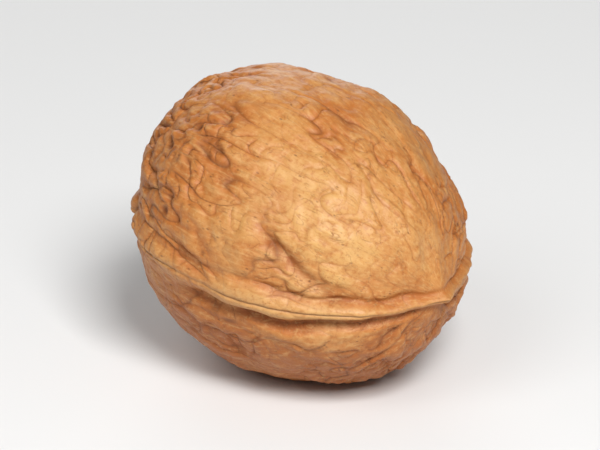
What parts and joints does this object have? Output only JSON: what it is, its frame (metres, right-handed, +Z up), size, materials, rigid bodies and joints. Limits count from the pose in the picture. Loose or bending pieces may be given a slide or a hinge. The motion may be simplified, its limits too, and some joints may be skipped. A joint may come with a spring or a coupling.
{
  "type": "walnut",
  "caption": "Whole walnut in its shell, with a raised band along the seam, a short beak at the tip and wrinkled cheeks. It lies on its side as food or decoration.",
  "frame": {"origin": "on the surface that the nut lies on, at the middle of its box seen from above", "axes": "+X along the nut's length towards the tip with its beak, which dips a little; +Z up, square to the flat spot that it rests on; the seam lies nearly level, in the X-Y plane, and runs all round the nut"},
  "size_m": [0.0404, 0.0336, 0.0327],
  "materials": {
    "shell": "dry woody nutshell, golden tan on the cheeks and orange-brown in its furrows, a little satiny"
  },
  "bodies": {
    "root": {"walnut": "shell"}
  },
  "joints": []
}
